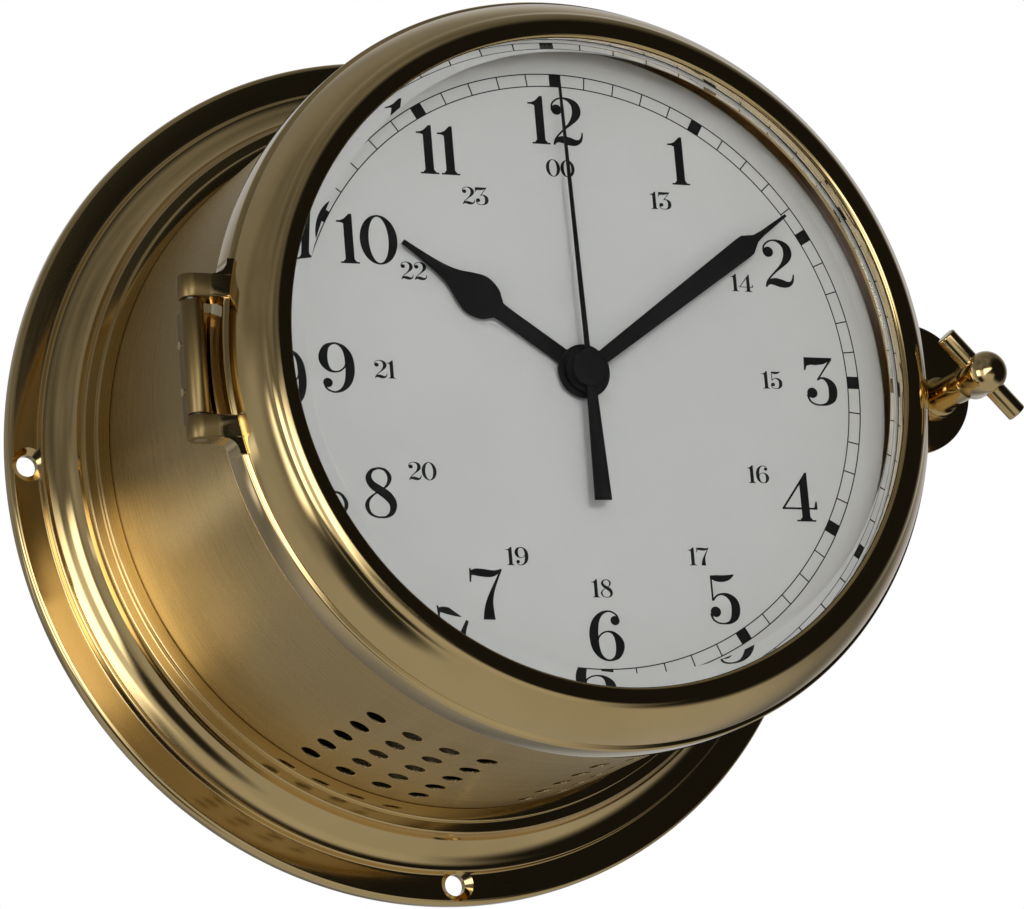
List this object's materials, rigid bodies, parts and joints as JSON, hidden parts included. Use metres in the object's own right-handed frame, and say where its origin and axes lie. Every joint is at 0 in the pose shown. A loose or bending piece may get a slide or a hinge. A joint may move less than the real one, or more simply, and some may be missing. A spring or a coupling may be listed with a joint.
{
  "type": "marine clock",
  "caption": "Brass marine wall clock: screw-down wall flange, pierced satin drum, hinged bezel with T-bar lock screw, bevelled crystal, pale dial with black hands and quartz strike movement.",
  "frame": {"origin": "centre of the wall flange's back face, in the plane of the wall", "axes": "dial faces -Y, twelve o'clock is +Z, three o'clock is +X"},
  "size_m": [0.18, 0.1019, 0.18],
  "materials": {
    "polished_brass": "polished and lacquered",
    "satin_brass": "fine circular brushing",
    "plain_brass": "turned, unpolished",
    "steel": "zinc plated",
    "dial_enamel": "matt pale grey lacquer with printed numbers",
    "hand_black": "satin black lacquer",
    "rubber": "matt",
    "crystal_glass": "clear, bevelled edge",
    "white_plastic": "moulded",
    "black_plastic": "moulded",
    "board_green": "solder mask",
    "coil_copper": "enamelled copper wire, drawn plain",
    "cell_jacket": "plain jacket",
    "cone_paper": "pressed paper"
  },
  "bodies": {
    "case": {"wall_flange": "polished_brass", "case_drum": "satin_brass", "rear_ring": "plain_brass", "rear_cover": "plain_brass", "rear_cover_screws": "steel", "dial_support_ring": "plain_brass", "dial_plate": "dial_enamel", "dial_screws": "steel", "case_seal": "rubber", "hinge_bracket": "polished_brass", "hinge_rivets": "polished_brass", "hinge_pin": "steel", "case_lock_lug": "polished_brass", "movement_housing": "white_plastic", "movement_cover": "white_plastic", "movement_cover_screws": "steel", "movement_pad": "rubber", "centre_nut": "hand_black", "train_bridge": "steel", "motor_stator": "steel", "motor_coil": "coil_copper", "circuit_board": "board_green", "movement_battery": "cell_jacket", "battery_contacts": "steel", "strike_board": "board_green", "board_standoffs": "plain_brass", "strike_battery_box": "black_plastic", "strike_cells": "cell_jacket", "strike_switch_body": "black_plastic", "speaker_frame": "steel", "speaker_cone": "cone_paper", "speaker_magnet": "black_plastic", "speaker_bracket": "steel", "speaker_screws": "steel"},
    "bezel": {"bezel_ring": "polished_brass", "crystal": "crystal_glass", "crystal_front_gasket": "rubber", "crystal_rear_gasket": "white_plastic", "glass_retainer": "plain_brass"},
    "lock_collar": {"lock_washer": "polished_brass"},
    "lock_screw": {"thumbscrew": "polished_brass", "thumbscrew_bar": "polished_brass"},
    "second_arbor": {"second_hand": "hand_black", "second_wheel": "plain_brass"},
    "minute_cannon": {"minute_hand": "hand_black", "minute_wheel": "plain_brass"},
    "hour_tube": {"hour_hand": "hand_black", "hour_wheel": "plain_brass"},
    "third_arbor": {"third_wheel": "plain_brass"},
    "motion_arbor": {"motion_wheel": "plain_brass"},
    "fifth_arbor": {"fifth_wheel": "plain_brass"},
    "rotor_arbor": {"rotor": "steel"},
    "setting_stem": {"setting_knob": "black_plastic"},
    "strike_switch": {"strike_switch_slider": "white_plastic"}
  },
  "joints": [
    {"name": "bezel_hinge", "type": "hinge", "parent": "case", "child": "bezel", "pos_m": [-0.0792, -0.0819, 0], "axis": [0, 0, -1], "range_deg": [0, 135]},
    {"name": "lock_travel", "type": "slide", "parent": "bezel", "child": "lock_collar", "axis": [0, -1, 0], "range_m": [0, 0.0048]},
    {"name": "lock_turn", "type": "hinge", "parent": "lock_collar", "child": "lock_screw", "pos_m": [0.07917, -0.09, -0.00207], "axis": [0, -1, 0], "range_deg": [0, 2160]},
    {"name": "second_turn", "type": "hinge", "parent": "case", "child": "second_arbor", "pos_m": [0, -0.064, 0], "axis": [0, 1, 0], "continuous": true},
    {"name": "minute_turn", "type": "hinge", "parent": "case", "child": "minute_cannon", "pos_m": [0, -0.064, 0], "axis": [0, 1, 0], "continuous": true},
    {"name": "hour_turn", "type": "hinge", "parent": "case", "child": "hour_tube", "pos_m": [0, -0.064, 0], "axis": [0, 1, 0], "continuous": true},
    {"name": "third_turn", "type": "hinge", "parent": "case", "child": "third_arbor", "pos_m": [-0.00883, -0.064, 0.0051], "axis": [0, 1, 0], "continuous": true},
    {"name": "motion_turn", "type": "hinge", "parent": "case", "child": "motion_arbor", "pos_m": [0.006, -0.064, 0.01039], "axis": [0, 1, 0], "continuous": true},
    {"name": "fifth_turn", "type": "hinge", "parent": "case", "child": "fifth_arbor", "pos_m": [0.0051, -0.064, -0.00883], "axis": [0, 1, 0], "continuous": true},
    {"name": "rotor_turn", "type": "hinge", "parent": "case", "child": "rotor_arbor", "pos_m": [0.0086, -0.064, -0.0149], "axis": [0, 1, 0], "continuous": true},
    {"name": "setting_turn", "type": "hinge", "parent": "case", "child": "setting_stem", "pos_m": [0, -0.064, 0.02078], "axis": [0, 1, 0], "continuous": true},
    {"name": "strike_switch_slide", "type": "slide", "parent": "case", "child": "strike_switch", "axis": [1, 0, 0], "range_m": [0, 0.004]}
  ],
  "couplings": [
    {"joint": "lock_turn", "follows": "lock_travel", "rad_per_m": 7854},
    {"joint": "third_turn", "follows": "second_turn", "ratio": -0.13333},
    {"joint": "minute_turn", "follows": "second_turn", "ratio": 0.016667},
    {"joint": "motion_turn", "follows": "second_turn", "ratio": -0.0055556},
    {"joint": "hour_turn", "follows": "second_turn", "ratio": 0.0013889},
    {"joint": "setting_turn", "follows": "second_turn", "ratio": 0.016667},
    {"joint": "fifth_turn", "follows": "second_turn", "ratio": -5},
    {"joint": "rotor_turn", "follows": "second_turn", "ratio": 30}
  ]
}
